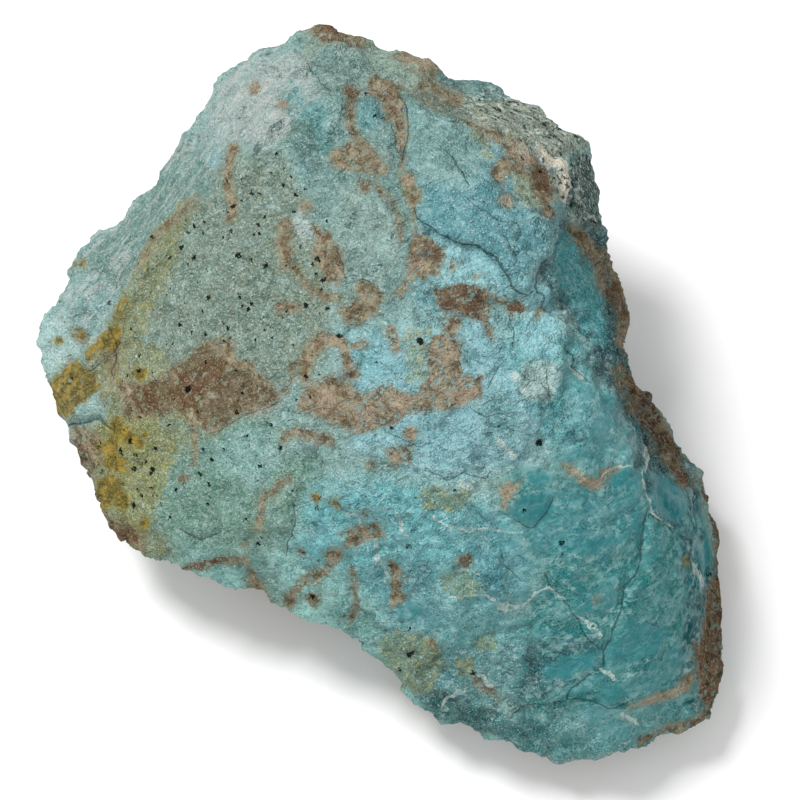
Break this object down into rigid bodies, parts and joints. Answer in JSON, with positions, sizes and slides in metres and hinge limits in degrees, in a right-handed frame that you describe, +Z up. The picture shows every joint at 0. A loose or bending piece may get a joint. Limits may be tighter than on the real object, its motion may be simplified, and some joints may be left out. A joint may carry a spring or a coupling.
{
  "type": "rough turquoise stone",
  "caption": "Lump of raw blue-green turquoise with brown host rock, broken on all sides, lying on a flat fracture; a mineral specimen to display.",
  "frame": {"origin": "middle of the bounding box at the base, on the surface that the stone lies on", "axes": "+Z up, -Y towards the viewer of the picture, +X to the viewer's right"},
  "size_m": [0.1056, 0.1066, 0.0556],
  "materials": {
    "turquoise": "rough broken surface, waxy where it is smooth"
  },
  "bodies": {
    "root": {"turquoise_stone": "turquoise"}
  },
  "joints": []
}
